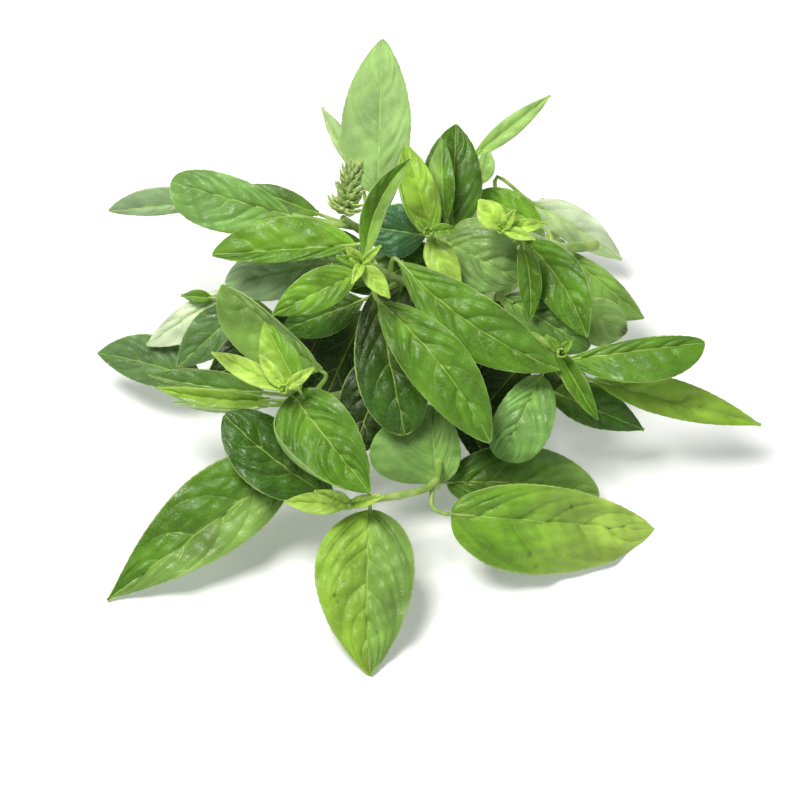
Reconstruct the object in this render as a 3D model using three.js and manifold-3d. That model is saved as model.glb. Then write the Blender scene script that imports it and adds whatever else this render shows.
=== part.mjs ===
// A bunch of cut basil lying on a surface, leafy heads to the front and cut stem ends to the back.
// Millimetres, +Z up. The leaves are laid out on the sloping face of the heap, whose x runs to the right,
// y up the slope and z out of the foliage; the face then leans back on the surface at Z = 0.
import * as THREE from "three";
import { mergeVertices } from "three/addons/utils/BufferGeometryUtils.js";
import Module from "manifold-3d";

// Driving dimensions
const FACE_LEAN = 40; // degrees from upright lying flat: the face looks up and to the front
const FACE_HEIGHT = 50; // the middle of the face above the surface
const FACE_PLACE = [-11.5, -23]; // puts the origin under the middle of the whole bunch
const BLADE_THICK = 0.7;
const BLADE_BASE = 1.2; // half width of a blade where its stalk joins
const BLADE_TIP = 0.5;
const BLADE_CUP = 0.22; // how far the margins turn back, as a share of the half width
const BLADE_WAVE = 0.07; // height of the waves in a margin, as a share of the half width
const BLADE_TWIST = 8; // degrees that a blade may turn about its midrib from base to tip, either way
const STALK_RADIUS = 1.15;
const STEM_FOOT = 2.3; // stem radius at the cut end
const STEM_NECK = 1.4; // stem radius under the shoot
const SPIKE_AXIS = [4, 19, 3]; // length and lean of the flower spike on the face
const WHORLS = 4;
const BRACTS = 6;
const BRACT_LENGTH = 9;
const BRACT_RADIUS = 2.6;
const BUD_RADIUS = 2.6;
const BUD_GAP = 0.8; // between a stem's end and the bud above it
const GAP = 2.2; // clear space between one leaf and the leaf laid over it
const CELL = 2; // spacing of the grid that remembers how high the heap is
const SINK = 0.35; // leaf tips and stems that bear on the surface are pressed flat by this much
const ROWS = 6;
const YOUNG_ROWS = 3;
const COLUMNS = 4;
const STEM_STEPS = 12;
const NARROW = 19.6; // a blade narrower than this is only folded, not cupped

// The stems gather behind the heap and end in cuts on the surface.
const THROAT = [30, 42, -76];
const CUT_END = [60, 70, -110];

// name, shoot x, y, z, place among the gathered stems across and up, points on the way to the shoot;
// a stem with no such place is a loose one, and its way starts at its own cut end
const STEMS = [
  ["back", 30, 80, -76, 4, 12, []],
  ["flowering", -23, 73, -20, -11, 8, []],
  ["left_back", -58, 30, -30, -10, 0, []],
  ["upper", 12, 66, 6, -4, 8, []],
  ["right_back", 42, 68, 8, null, null, [[79, 62.5, -64], [65, 61.5, -48], [54, 65, -24]]],
  ["right", 63, 20, 10, 8, 0, []],
  ["left", -45, 4, 32, -5, -8, [[-2, 10, -42], [-30, 1, -14]]],
  ["central", -14, 54, 28, -1, 0, []],
  ["front", -17, -41, 20, 3, -8, [[24, 4, -48], [16, -24, -6], [12, -34.5, 13]]],
];

// Leaf stalks that bow on their way: number of the leaf, and a point x, y that its stalk passes
const BOWED_STALKS = new Map([
  [2, [39, 90.5]],
  [58, [12.8, -42.5]],
]);

// stem, blade base x, y, tip x, y, width seen left and right of the midrib, depth of base, rise to the tip,
// bow, fold, roll, widest at, sway, slimness of the outline towards its ends
const LEAVES = [
  ["back", 30, 99, 61, 123.5, 4, 4.2, -84, 0, 2, 20, 0, 0.45, 0, 1.75],
  ["back", 33, 88, 36, 101, 4, 4, -80, 0, 1, 20, 0, 0.45, 0, 1.5],
  ["back", 54, 80, 90, 57, 7.6, 6.8, -88, -6, 3, 10, 0, 0.42, -1, 1.6],
  ["flowering", -17.5, 92, -31.5, 118, 3, 4, -52, 0, 2, 20, 0, 0.45, 0, 1.75],
  ["flowering", -78, 80, -117.5, 76.5, 3.8, 7.5, -48, -8, 3, 20, 15, 0.45, 0, 1.4],
  ["flowering", -33, 75, -62, 86, 6, 5, -42, 0, 3, 30, -20, 0.5, 0, 1.6],
  ["flowering", -9, 83, -7, 145.5, 15.5, 12.5, -40, -12, 3, 10, 8, 0.41, 0, 1.35],
  ["left_back", -80, 8, -122, 19, 8.5, 12, -42, -14, 3, 15, 0, 0.45, 1, 1.6],
  ["left_back", -70, 44, -102, 22, 9, 5, -36, -6, 2, 12, 0, 0.45, 0, 1.6],
  ["left_back", -76, 41, -88, 42, 2.5, 3, -38, 0, 1, 15, 0, 0.4, 0, 1.75],
  ["left_back", -62, 38, -89.5, 13.5, 8.5, 10, -28, -6, 3, 14, 0, 0.42, 0, 1.6],
  ["right_back", 66, 60, 98.5, 33, 5.2, 12, -60, -8, 3, 15, 0, 0.45, 0, 1.6],
  ["right", 70, 38, 91.5, 27.5, 8.5, 11, -48, -6, 2, 15, 0, 0.5, 0, 1.5],
  ["right_back", 57, 69.5, 32, 83.5, 8, 7.5, -44, -2, 3, 12, 0, 0.5, 0, 1.3],
  ["central", -14, 36, -36, -12, 14.5, 14.5, -40, -6, 3, 10, 0, 0.45, 0, 1.75],
  ["central", 11, 30, 39, -35, 14.5, 7.2, -24, -2, 3, 10, 0, 0.45, 0, 1.75],
  ["right", 28, 36, 62, 14, 13.5, 13.5, -44, -6, 3, 10, 0, 0.45, 0, 1.75],
  ["central", -3, 22, -20, -24, 13, 13, -12, 2, 3, 10, 0, 0.45, 0, 1.75],
  ["left_back", -34, 30, -78, 8, 14, 14, -40, -4, 3, 10, 0, 0.45, 0, 1.6],
  ["right", 58, 17, 78, -8, 8.7, 8.7, -36, -2, 3, 10, 0, 0.45, 0, 1.4],
  ["upper", 16, 59, -20, 44, 8, 11, -34, 0, 3, 10, 0, 0.45, 0, 1.4],
  ["central", -10, 47, -34, 69, 8.7, 8.7, -36, 0, 3, 10, 0, 0.45, 0, 1.4],
  ["upper", 21, 69, 22.4, 110.8, 13.2, 11.5, -28, -4, 3, 18, -10, 0.42, 0, 1.35],
  ["upper", 18.5, 73, 17.2, 104.6, 5.8, 5, -20, -2, 2, 20, 10, 0.45, -1, 1.5],
  ["flowering", -44.7, 74, -92, 87.5, 14, 9.2, -26, -4, 5, 16, 0, 0.57, 0, 1.05],
  ["upper", 10, 66, -14, 70, 11, 11, -20, 0, 3, 12, 0, 0.45, 0, 1.6],
  ["upper", 13, 66, 2, 103, 7, 7.2, -12, -2, 3, 22, -14, 0.42, 0, 1.5],
  ["right", 50, 16, 28, -10, 12, 12, -20, 0, 3, 10, 0, 0.45, 0, 1.5],
  ["central", 1, 46, -8, 14, 12, 12, -17, 2, 3, 10, 0, 0.45, 0, 1.5],
  ["right", 42, 41, 76, 21, 10.2, 10.2, -24, -4, 3, 12, 0, 0.5, 0, 1.3],
  ["right_back", 50, 64, 75, 25, 10.5, 10, -18, -6, 3, 15, -15, 0.45, -3, 1.6],
  ["upper", 18, 63.5, 48.5, 48, 15.5, 13, -12, -6, 6, 8, 0, 0.38, 0, 1],
  ["right_back", 49, 63, 52, 32, 4.8, 4.8, -6, -4, 2, 32, 0, 0.45, -1.5, 1.6],
  ["upper", 11.6, 64.4, 24, 44.6, 5.9, 6.6, 0, 0, 2, 20, 0, 0.42, 0, 1.5],
  ["left", -55, 3, -101, 10, 6.8, 6.8, -22, -8, 3, 15, 0, 0.45, -1, 1.6],
  ["left", -53, -2, -91, -1, 3.6, 3.2, -16, -6, 2, 30, 30, 0.45, 0, 1.75],
  ["central", -30, 55, -70, 47, 11, 11.5, -12, -4, 3, 12, 0, 0.5, 0, 1.4],
  ["central", -15, 40, -47, 28, 8.7, 8.7, -16, -4, 3, 15, 0, 0.45, 0, 1.6],
  ["front", 19, -33, 80, -38, 15.5, 12, -10, -14, 4, 15, 0, 0.45, -2, 1.15],
  ["right", 62, 3, 98, -12, 10, 7.5, -20, -6, 2, 15, 0, 0.37, 0, 1.6],
  ["right", 78, 8, 145, -10, 8.8, 6.8, -14, -14, 4, 16, 8, 0.42, 0, 1.75],
  ["right", 67, 16, 122, 23, 5, 13, -2, -6, 4, 24, 8, 0.57, 0, 1.3],
  ["right", 62, 21, 79, -8, 4.2, 4.2, 4, 0, 2, 42, 0, 0.45, 0, 1.6],
  ["right", 56.6, 9.8, 40.4, -23.6, 13.4, 10, -2, 2, 5, 12, 0, 0.57, 0, 0.95],
  ["front", 15, -33, 12, -2, 26, 10.5, -6, 0, 2, 20, 0, 0.42, 0, 0.95],
  ["central", -10, 44, 2, -14, 14, 14.5, 0, 4, 5, 20, 10, 0.58, 0, 1.3],
  ["central", 0, 55, 64, 12, 12.5, 12.5, 10, 0, 5, 16, 0, 0.5, 4.6, 1.75],
  ["central", -8, 39, 36, -17, 12, 13.4, 16, 2, 5, 12, 0, 0.48, -3.6, 1.5],
  ["central", -18, 62, -75, 58, 5, 13.3, 8, -4, 4, 20, -16, 0.48, 0, 1.4],
  ["central", -17.5, 50.5, -51, 34, 7.5, 9, 16, 0, 3, 16, 0, 0.42, 0, 1.6],
  ["central", -14, 57, 4, 96, 5.4, 3.6, 18, -4, 3, 45, 0, 0.45, -4, 1.6],
  ["left", -32, 12, -71, 46, 15.5, 3, 4, -2, 4, 34, 26, 0.55, 0, 1.25],
  ["left", -52, 0, -97, 5, 3.8, 3.8, 6, -4, 3, 40, 10, 0.45, -2, 1.6],
  ["left", -44, -26, -117, -80, 14, 19.4, 4, -2, 4, 14, -8, 0.35, 0, 1.65],
  ["front", -27, -39, -70, -6, 14, 14, 8, 0, 4, 16, -14, 0.55, -2, 1.35],
  ["left", -43, 2, -12, -37, 13.5, 15.5, 24, 12, 5, 14, 10, 0.36, 0, 1.3],
  ["left", -40, 4, -54, 31, 9, 6, 20, 0, 3, 20, 0, 0.42, 0, 1.6],
  ["front", -11.8, -44, -12, -110, 18.8, 21, 19, 7, 4, 10, 0, 0.37, 1.2, 1.45],
  ["front", 21, -45.6, 102, -52, 14.5, 21.6, 16, -38, 6, 14, -4, 0.37, 0, 1.2],
];

// Young leaves of the shoots: stem, base x, y, tip x, y, width, depth of base, rise to the tip
const YOUNG = [
  ["left", -47, 4, -75, 19, 9, 28, 2],
  ["left", -46, 6, -56, 18, 6, 32, 3],
  ["left", -42, 5, -34, 13, 5, 33, 4],
  ["central", -14, 54, -21.5, 61, 5.5, 32, 4],
  ["central", -12, 52, -4, 40.5, 8, 30, 3],
  ["central", -13, 56, -7.5, 61.5, 3.6, 33, 5],
  ["central", -16, 54, -25.5, 57, 4.4, 31, 3],
  ["central", -13, 53, -19, 46, 4.4, 32, 4],
  ["front", -19, -41, -46, -40.5, 9, 22, 0],
  ["front", -20, -40, -34, -36, 7, 22, 1],
  ["front", -15, -41, -6, -38, 5, 24, 2],
  ["right_back", 41, 69, 31.5, 80, 11, 8, 3],
  ["right_back", 43, 67, 58.5, 70.5, 6, 9, 3],
  ["right_back", 43, 66, 54, 64, 5, 10, 3],
  ["right_back", 41, 68, 46, 76, 5, 9, 4],
  ["upper", 13, 67, 22.5, 68.5, 6, 6, 3],
  ["upper", 11, 68, 6, 73, 5, 6, 3],
  ["right", 64, 21, 69, 24, 4, 12, 3],
  ["right", 62, 22, 58, 26, 4, 12, 3],
];

const lean = THREE.MathUtils.degToRad(FACE_LEAN);
const OUT = new THREE.Vector3(0, 0, 1);
const point = (x, y, z) => new THREE.Vector3(x, y, z);

// Depth on the face of a point of the surface below it
const surfaceDepth = (y) => -(FACE_HEIGHT + y * Math.sin(lean)) / Math.cos(lean);

function makeLeaf([stem, bx, by, tx, ty, left, right, depth, rise, bow, fold, roll, widest, sway, slim], index) {
  return {
    stem,
    base: point(bx, by, depth),
    tip: point(tx, ty, depth + rise),
    left,
    right,
    bow,
    fold: THREE.MathUtils.degToRad(fold),
    roll: THREE.MathUtils.degToRad(roll),
    twist: THREE.MathUtils.degToRad(BLADE_TWIST) * Math.sin(2.1 * index),
    widest,
    sway,
    slim,
    phase: index * 1.7,
    index,
  };
}

// Width seen from the midrib to a margin at a share t of the length
function halfWidth(leaf, t, s) {
  const inner = (t / leaf.widest) ** (leaf.slim * leaf.widest);
  const outer = ((1 - t) / (1 - leaf.widest)) ** (leaf.slim * (1 - leaf.widest));
  const least = BLADE_BASE + (BLADE_TIP - BLADE_BASE) * t;
  return Math.max(least, (s < 0 ? leaf.left : leaf.right) * inner * outer);
}

// A point of the blade's middle surface: t runs from base to tip, s from the left margin to the right one
function bladePoint(leaf, t, s) {
  const along = leaf.tip.clone().sub(leaf.base);
  const ahead = along.clone().normalize();
  const out = OUT.clone().addScaledVector(ahead, -ahead.z).normalize();
  const side = ahead.clone().cross(out);
  const half = halfWidth(leaf, t, s);
  const arch = 4 * t * (1 - t);
  const wave = BLADE_WAVE * Math.sin(9 * t + leaf.phase + (s > 0 ? 2 : 0));
  const tilt = Math.tan(leaf.roll + leaf.twist * (2 * t - 1));
  const lift = Math.abs(s) * Math.tan(leaf.fold) + s * tilt + s * s * (wave - BLADE_CUP);
  return leaf.base
    .clone()
    .addScaledVector(along, t)
    .addScaledVector(out, leaf.bow * arch + half * lift)
    .addScaledVector(side, leaf.sway * arch + half * s);
}

// The heap as a grid of the greatest depth reached so far
const heap = new Map();
const cellOf = (x, y) => [Math.floor(x / CELL), Math.floor(y / CELL)];
const keyOf = (column, row) => column * 1000 + row;

function samples(leaf) {
  const found = [];
  for (let i = 0; i <= 20; i++)
    for (let j = -6; j <= 6; j++) found.push([i / 20, bladePoint(leaf, i / 20, j / 6)]);
  return found;
}

// How far a leaf must come out at a sample to be clear of what lies under it
function shortfall(p) {
  const under = heap.get(keyOf(...cellOf(p.x, p.y)));
  const overLeaves = under === undefined ? -Infinity : under + GAP - p.z;
  return Math.max(overLeaves, surfaceDepth(p.y) - SINK - p.z);
}

// Lays a leaf on the heap: its base and its tip each come out until the blade is clear
function lay(leaf) {
  for (let pass = 0; pass < 3; pass++) {
    const needs = samples(leaf).map(([t, p]) => [t, shortfall(p)]);
    let baseLift = 0;
    for (const [t, need] of needs) if (t < 0.3) baseLift = Math.max(baseLift, need);
    let tipLift = 0;
    for (const [t, need] of needs) if (t >= 0.3) tipLift = Math.max(tipLift, (need - baseLift * (1 - t)) / t);
    leaf.base.z += baseLift;
    leaf.tip.z += tipLift;
  }
  for (const [, p] of samples(leaf)) {
    const [column, row] = cellOf(p.x, p.y);
    for (let i = -1; i <= 1; i++)
      for (let j = -1; j <= 1; j++) {
        const key = keyOf(column + i, row + j);
        heap.set(key, Math.max(heap.get(key) ?? -Infinity, p.z));
      }
  }
}

const leaves = LEAVES.map(makeLeaf);
const young = YOUNG.map(([stem, bx, by, tx, ty, width, depth, rise], index) =>
  makeLeaf([stem, bx, by, tx, ty, width / 2, width / 2, depth, rise, 1.2, 32, 0, 0.45, 0, 1.75], index),
);
leaves.forEach(lay);
young.forEach(lay);

// Rows of a blade lie a little closer together at its ends
const rowShare = (even) => 0.6 * even + 0.2 * (1 - Math.cos(Math.PI * even));

// A closed blade: two alike faces and a rim
function bladeGeometry(leaf, rows, columns) {
  const positions = [];
  const faces = [];
  const step = 1e-3;
  const across = columns + 1;
  for (const sign of [1, -1])
    for (let i = 0; i <= rows; i++)
      for (let j = 0; j <= columns; j++) {
        const share = rowShare(i / rows);
        const t = Math.min(1 - step, Math.max(step, share));
        const s = (2 * j) / columns - 1;
        const s0 = j === columns / 2 ? 0 : s - Math.sign(s) * step;
        const forward = bladePoint(leaf, t + step, s).sub(bladePoint(leaf, t - step, s));
        const sideways =
          j === columns / 2
            ? bladePoint(leaf, t, 0.2).sub(bladePoint(leaf, t, -0.2))
            : bladePoint(leaf, t, s).sub(bladePoint(leaf, t, s0)).multiplyScalar(Math.sign(s));
        const normal = sideways.cross(forward).normalize();
        const p = bladePoint(leaf, share, s).addScaledVector(normal, (sign * BLADE_THICK) / 2);
        positions.push(p.x, p.y, p.z);
      }
  const under = (rows + 1) * across;
  const at = (i, j) => i * across + j;
  for (let i = 0; i < rows; i++)
    for (let j = 0; j < columns; j++) {
      const [a, b, c, d] = [at(i, j), at(i, j + 1), at(i + 1, j + 1), at(i + 1, j)];
      faces.push(a, b, c, a, c, d);
      faces.push(under + a, under + c, under + b, under + a, under + d, under + c);
    }
  const rim = [];
  for (let j = 0; j < columns; j++) rim.push(at(0, j));
  for (let i = 0; i < rows; i++) rim.push(at(i, columns));
  for (let j = columns; j > 0; j--) rim.push(at(rows, j));
  for (let i = rows; i > 0; i--) rim.push(at(i, 0));
  rim.forEach((a, k) => {
    const b = rim[(k + 1) % rim.length];
    faces.push(a, under + b, b, a, under + a, under + b);
  });
  return closedGeometry(positions, faces);
}

function closedGeometry(positions, faces) {
  const geometry = new THREE.BufferGeometry();
  geometry.setAttribute("position", new THREE.Float32BufferAttribute(positions, 3));
  geometry.setIndex(faces);
  return geometry;
}

// A tapering rod along a curve, with flat ends; square sections are given softened corners
function rodGeometry(curve, steps, sides, radiusAt) {
  const frames = curve.computeFrenetFrames(steps, false);
  const positions = [];
  const faces = [];
  for (let i = 0; i <= steps; i++) {
    const centre = curve.getPointAt(i / steps);
    for (let k = 0; k < sides; k++) {
      const angle = (2 * Math.PI * k) / sides;
      const radius = radiusAt(i / steps) * (sides === 8 && k % 2 ? 1.12 : 1);
      const p = centre
        .clone()
        .addScaledVector(frames.normals[i], radius * Math.cos(angle))
        .addScaledVector(frames.binormals[i], radius * Math.sin(angle));
      positions.push(p.x, p.y, p.z);
    }
  }
  for (let i = 0; i < steps; i++)
    for (let k = 0; k < sides; k++) {
      const next = (k + 1) % sides;
      const [a, b, c, d] = [i * sides + k, i * sides + next, (i + 1) * sides + next, (i + 1) * sides + k];
      faces.push(a, b, c, a, c, d);
    }
  for (let k = 1; k < sides - 1; k++) {
    faces.push(0, k + 1, k);
    faces.push(steps * sides, steps * sides + k, steps * sides + k + 1);
  }
  return closedGeometry(positions, faces);
}

const wasm = await Module();
wasm.setup();

function solidOf(geometry) {
  const bare = geometry.clone();
  bare.deleteAttribute("normal");
  bare.deleteAttribute("uv");
  const merged = mergeVertices(bare, 1e-4);
  const vertProperties = merged.attributes.position.array;
  const triVerts = new Uint32Array(merged.index.array);
  return new wasm.Manifold(new wasm.Mesh({ numProp: 3, vertProperties, triVerts }));
}

function geometryOf(solid) {
  const mesh = solid.getMesh();
  return closedGeometry(Array.from(mesh.vertProperties), Array.from(mesh.triVerts));
}

const fuse = (solids) => solids.reduce((whole, next) => whole.add(next));

// Stems: from the cut end through the throat to the shoot
const gather = point(...CUT_END).sub(point(...THROAT)).normalize();
const gatherAcross = point(0, 1, 0).cross(gather).normalize();
const gatherUp = gather.clone().cross(gatherAcross);

function stemCurve([name, x, y, z, across, up, way], index) {
  const own = leaves.filter((leaf) => leaf.stem === name);
  const shoot = point(x, y, own.reduce((most, leaf) => Math.max(most, leaf.base.z + 4), z));
  const course = [...way.map((p) => point(...p)), shoot];
  if (across !== null) {
    const place = gatherAcross.clone().multiplyScalar(-across).addScaledVector(gatherUp, up);
    const cut = point(...CUT_END).add(place).addScaledVector(gather, 4 * Math.sin(index * 2.4));
    course.unshift(cut, point(...THROAT).add(place));
  }
  return new THREE.CatmullRomCurve3(course, false, "centripetal");
}

// The point of a stem where a leaf's stalk leaves it
function nodeOf(curve, leaf) {
  const ahead = leaf.tip.clone().sub(leaf.base).normalize();
  const from = leaf.base.clone().addScaledVector(ahead, -6).addScaledVector(OUT, -3);
  let best = null;
  for (let i = 4; i < STEM_STEPS; i++) {
    const p = curve.getPointAt(i / STEM_STEPS);
    if (!best || p.distanceTo(from) < best.distanceTo(from)) best = p;
  }
  return best;
}

function stalkGeometry(root, leaf) {
  const ahead = leaf.tip.clone().sub(leaf.base).normalize();
  const reach = Math.min(3.5, 0.3 * root.distanceTo(leaf.base));
  const course = [root, leaf.base.clone().addScaledVector(ahead, -reach), leaf.base, bladePoint(leaf, 0.08, 0)];
  const bow = BOWED_STALKS.get(leaf.index);
  if (bow) course.splice(1, 0, point(...bow, (root.z + leaf.base.z) / 2));
  const curve = new THREE.CatmullRomCurve3(course, false, "centripetal");
  const steps = bow ? 5 : curve.getLength() > 25 ? 3 : 2;
  return rodGeometry(curve, steps, 4, (share) => STALK_RADIUS * (1 - 0.5 * share));
}

// What presses on the surface is flattened there
const ground = new THREE.BoxGeometry(800, 800, 100)
  .translate(0, 0, -50 - FACE_HEIGHT)
  .applyMatrix4(new THREE.Matrix4().makeRotationX(-lean));
const groundSolid = solidOf(ground);

const LEAF_GREEN = new THREE.MeshStandardMaterial({ color: 0x5f9a34, roughness: 0.45, metalness: 0 });
const YOUNG_GREEN = new THREE.MeshStandardMaterial({ color: 0x9fc63c, roughness: 0.5, metalness: 0 });
const SPIKE_GREEN = new THREE.MeshStandardMaterial({ color: 0xb4c978, roughness: 0.6, metalness: 0 });

const face = new THREE.Group();
face.name = "face";

function addNode(name, solid, material) {
  const mesh = new THREE.Mesh(geometryOf(solid), material.clone());
  mesh.name = name;
  face.add(mesh);
}

STEMS.forEach((stem, index) => {
  const [name] = stem;
  const curve = stemCurve(stem, index);
  const pieces = [solidOf(rodGeometry(curve, STEM_STEPS, 8, (share) => STEM_FOOT + (STEM_NECK - STEM_FOOT) * share))];
  for (const leaf of leaves.filter((one) => one.stem === name)) {
    pieces.push(solidOf(bladeGeometry(leaf, ROWS, leaf.left + leaf.right < NARROW ? 2 : COLUMNS)));
    pieces.push(solidOf(stalkGeometry(nodeOf(curve, leaf), leaf)));
  }
  addNode(name + "_sprig", fuse(pieces).subtract(groundSolid), LEAF_GREEN);
  const shootLeaves = young.filter((one) => one.stem === name);
  if (!shootLeaves.length) return;
  const end = curve.getPointAt(1);
  const heading = curve.getTangentAt(1);
  const bud = end.clone().addScaledVector(heading, BUD_RADIUS + BUD_GAP);
  const shoot = [solidOf(new THREE.IcosahedronGeometry(BUD_RADIUS, 0).translate(bud.x, bud.y, bud.z))];
  for (const leaf of shootLeaves) {
    leaf.base.copy(bud);
    shoot.push(solidOf(bladeGeometry(leaf, YOUNG_ROWS, 2)));
  }
  addNode(name + "_shoot", fuse(shoot), YOUNG_GREEN);
});

// The flower spike: whorls of pointed bracts up the end of the flowering stem
const floweringEnd = stemCurve(STEMS[1], 1).getPointAt(1);
const spikeAxis = point(...SPIKE_AXIS);
const spikeFoot = floweringEnd.clone().addScaledVector(spikeAxis, 0.09);
const spikeSide = spikeAxis.clone().cross(OUT).normalize();
const spikeFront = spikeSide.clone().cross(spikeAxis).normalize();
const spikeCurve = new THREE.LineCurve3(spikeFoot, spikeFoot.clone().add(spikeAxis));
const spike = [solidOf(rodGeometry(spikeCurve, 1, 6, (share) => 1.5 - 0.8 * share))];
for (let whorl = 0; whorl < WHORLS; whorl++)
  for (let k = 0; k < BRACTS; k++) {
    const share = (whorl + 0.4) / WHORLS;
    const angle = (2 * Math.PI * (k + 0.5 * (whorl % 2))) / BRACTS;
    const outward = spikeSide.clone().multiplyScalar(Math.cos(angle)).addScaledVector(spikeFront, Math.sin(angle));
    const heading = outward.addScaledVector(spikeAxis.clone().normalize(), 0.3 + 0.7 * share).normalize();
    const length = BRACT_LENGTH * (1 - 0.5 * share);
    const centre = spikeCurve.getPointAt(share).addScaledVector(heading, length / 2);
    const turn = new THREE.Quaternion().setFromUnitVectors(point(0, 1, 0), heading);
    const bract = new THREE.ConeGeometry(BRACT_RADIUS * (1 - 0.3 * share), length, 3).applyQuaternion(turn);
    spike.push(solidOf(bract.translate(centre.x, centre.y, centre.z)));
  }
addNode("flower_spike", fuse(spike), SPIKE_GREEN);

face.rotation.x = lean;
face.position.set(...FACE_PLACE, FACE_HEIGHT);
const bunch = new THREE.Group();
bunch.name = "basil_bunch";
bunch.add(face);

export default bunch;
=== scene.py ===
import math

import bpy
import numpy as np
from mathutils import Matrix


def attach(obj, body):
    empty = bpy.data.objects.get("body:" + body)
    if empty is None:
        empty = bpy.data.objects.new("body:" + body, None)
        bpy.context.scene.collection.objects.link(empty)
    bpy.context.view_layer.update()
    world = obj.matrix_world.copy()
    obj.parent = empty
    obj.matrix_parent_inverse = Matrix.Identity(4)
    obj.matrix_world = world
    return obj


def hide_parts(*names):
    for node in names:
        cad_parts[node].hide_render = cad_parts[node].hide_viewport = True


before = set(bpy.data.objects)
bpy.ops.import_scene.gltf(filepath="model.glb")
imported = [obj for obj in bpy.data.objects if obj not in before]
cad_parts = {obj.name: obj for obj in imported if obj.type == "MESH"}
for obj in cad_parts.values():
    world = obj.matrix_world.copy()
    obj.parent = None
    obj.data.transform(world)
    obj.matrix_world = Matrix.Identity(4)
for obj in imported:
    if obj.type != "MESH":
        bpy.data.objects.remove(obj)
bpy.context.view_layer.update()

# Driving dimensions of the heap, in millimetres and degrees, the same as the solids have
FACE_LEAN = 40
FACE_HEIGHT = 50
FACE_PLACE = (-11.5, -23)
BLADE_BASE = 1.2
BLADE_TIP = 0.5
BLADE_CUP = 0.22
BLADE_WAVE = 0.07
BLADE_TWIST = 8
STALK_RADIUS = 1.15
STEM_FOOT = 2.3
STEM_NECK = 1.4
SPIKE_AXIS = (4, 19, 3)
BUD_RADIUS = 2.6
BUD_GAP = 0.8
BUD_LEAVES = 5
SPIKE_TIERS = 8
SPIKE_BRACTS = 7
SPIKE_BUD = 1.1
SPIKE_DRAWS = 5
BRACT_LENGTH = 8.6
BRACT_WIDTH = 2.0
GAP = 2.2
CELL = 2
SINK = 0.35
STEM_STEPS = 12
CURVE_STEPS = 60
STALK_REACH = 3.5
STEM_SWELLING = 0.22
SWELLING_REACH = 2.5
THROAT = (30, 42, -76)
CUT_END = (60, 70, -110)

# Dimensions of the finer leaf
BLADE_THICK = 0.5
CELLS_PER_MM = 1.6
YOUNG_CELLS_PER_MM = 2.4
BRACT_CELLS_PER_MM = 1.7
TOOTH_PITCH = 3.6
TOOTH_DEPTH = 0.22
RIB_DEPTH = 0.6
RIB_WIDTH = 0.8
VEIN_PAIRS = 5.6
VEIN_LEAN = 0.8
VEIN_ARCH = 1.2
QUILT_PITCH = 5
PUFF_HEIGHT = 1.5
DENT_HEIGHT = 0.35
SURFACE_REST = 0.3

# Camera: the photograph looks down on the heap, its frame is this wide at the heap's middle
VIEW_WIDTH = 0.320
VIEW_DISTANCE = 6.0
SENSOR_WIDTH = 36.0

# Leaf colours: the upper face of a blade
# Some tones carry painted light and shade, marked at each below.
TONES = {
    "lime": (0.420, 0.640, 0.090),
    "fresh": (0.280, 0.490, 0.040),
    "soft": (0.220, 0.400, 0.070),
    "bright": (0.165, 0.365, 0.020),
    "mid": (0.098, 0.245, 0.012),
    "olive": (0.060, 0.155, 0.008),
    # deep: a real dark green, which on inner filler blades also stands for painted shade
    "deep": (0.042, 0.130, 0.008),
    # shade: painted shade, near-black for filler blades set in the gaps of the heap where only shadow shows
    "shade": (0.007, 0.026, 0.002),
    "blue": (0.042, 0.150, 0.060),
    "glossy": (0.190, 0.390, 0.085),
    "grey": (0.105, 0.225, 0.040),
    # haze, mist and pale: partly the leaves' own paler colour, partly a painted whitish sheen on the back
    # leaves
    "haze": (0.300, 0.450, 0.220),
    "haze_dark": (0.110, 0.220, 0.065),
    "dusty": (0.250, 0.430, 0.110),
    "mist": (0.660, 0.770, 0.520),
    "pale": (0.510, 0.690, 0.310),
    "sage": (0.330, 0.540, 0.140),
    "bract": (0.560, 0.700, 0.220),
}

# Margins that have rolled over: number of the leaf, side of the midrib, share of that half rolled over
ROLLED = {26: (-1, 0.26), 50: (1, 0.42), 51: (1, 0.45), 55: (1, 0.2)}
ROLL_RADIUS = 0.8

# Leaves that show their undersides
TURNED_OVER = {6, 44}

# Brown marks: number of the leaf, place along and across it, size in millimetres, strength
MARKS = [
    (12, 1.0, 0.0, 3.2, 0.85),
    (57, 0.52, 0.66, 0.8, 0.75),
    (57, 0.56, 0.62, 0.6, 0.75),
    (57, 0.44, 0.45, 0.6, 0.5),
    (57, 0.54, -0.06, 0.7, 0.45),
    (57, 0.74, -0.3, 0.7, 0.45),
    (58, 0.54, -0.5, 0.8, 0.7),
    (58, 0.52, -0.35, 0.6, 0.6),
    (58, 0.36, 0.62, 1.3, 0.45),
    (58, 0.4, 0.85, 0.9, 0.4),
]
MARK_COLOUR = (0.045, 0.050, 0.012)

# Stems: name, shoot x, y, z, place among the gathered stems across and up, points on the way to the shoot
STEMS = [
    ("back", 30, 80, -76, 4, 12, []),
    ("flowering", -23, 73, -20, -11, 8, []),
    ("left_back", -58, 30, -30, -10, 0, []),
    ("upper", 12, 66, 6, -4, 8, []),
    ("right_back", 42, 68, 8, None, None, [(79, 62.5, -64), (65, 61.5, -48), (54, 65, -24)]),
    ("right", 63, 20, 10, 8, 0, []),
    ("left", -45, 4, 32, -5, -8, [(-2, 10, -42), (-30, 1, -14)]),
    ("central", -14, 54, 28, -1, 0, []),
    ("front", -17, -41, 20, 3, -8, [(24, 4, -48), (16, -24, -6), (12, -34.5, 13)]),
]

# Leaf stalks that bow on their way: number of the leaf, and a point x, y that its stalk passes
BOWED_STALKS = {2: (39, 90.5), 58: (12.8, -42.5)}
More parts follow.
